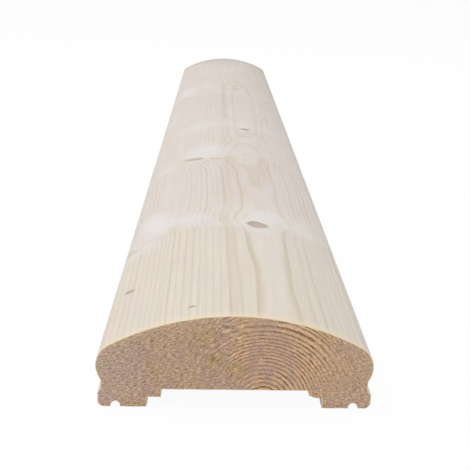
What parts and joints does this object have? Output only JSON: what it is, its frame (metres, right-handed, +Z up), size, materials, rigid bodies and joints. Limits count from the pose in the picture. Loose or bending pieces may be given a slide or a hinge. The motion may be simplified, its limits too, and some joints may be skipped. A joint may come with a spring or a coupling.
{
  "type": "handrail",
  "caption": "Straight length of moulded timber handrail with a crowned top, ovolo and cove sides, and a stepped recess below that seats on a top rail.",
  "frame": {"origin": "middle of the rail's length and width, on the level of its two feet", "axes": "+Y along the rail, +Z up through the crown, X across the rail; the pictured end is at -Y"},
  "size_m": [0.12, 1.2, 0.0419],
  "materials": {
    "timber": "matte"
  },
  "bodies": {
    "root": {"handrail": "timber"}
  },
  "joints": []
}
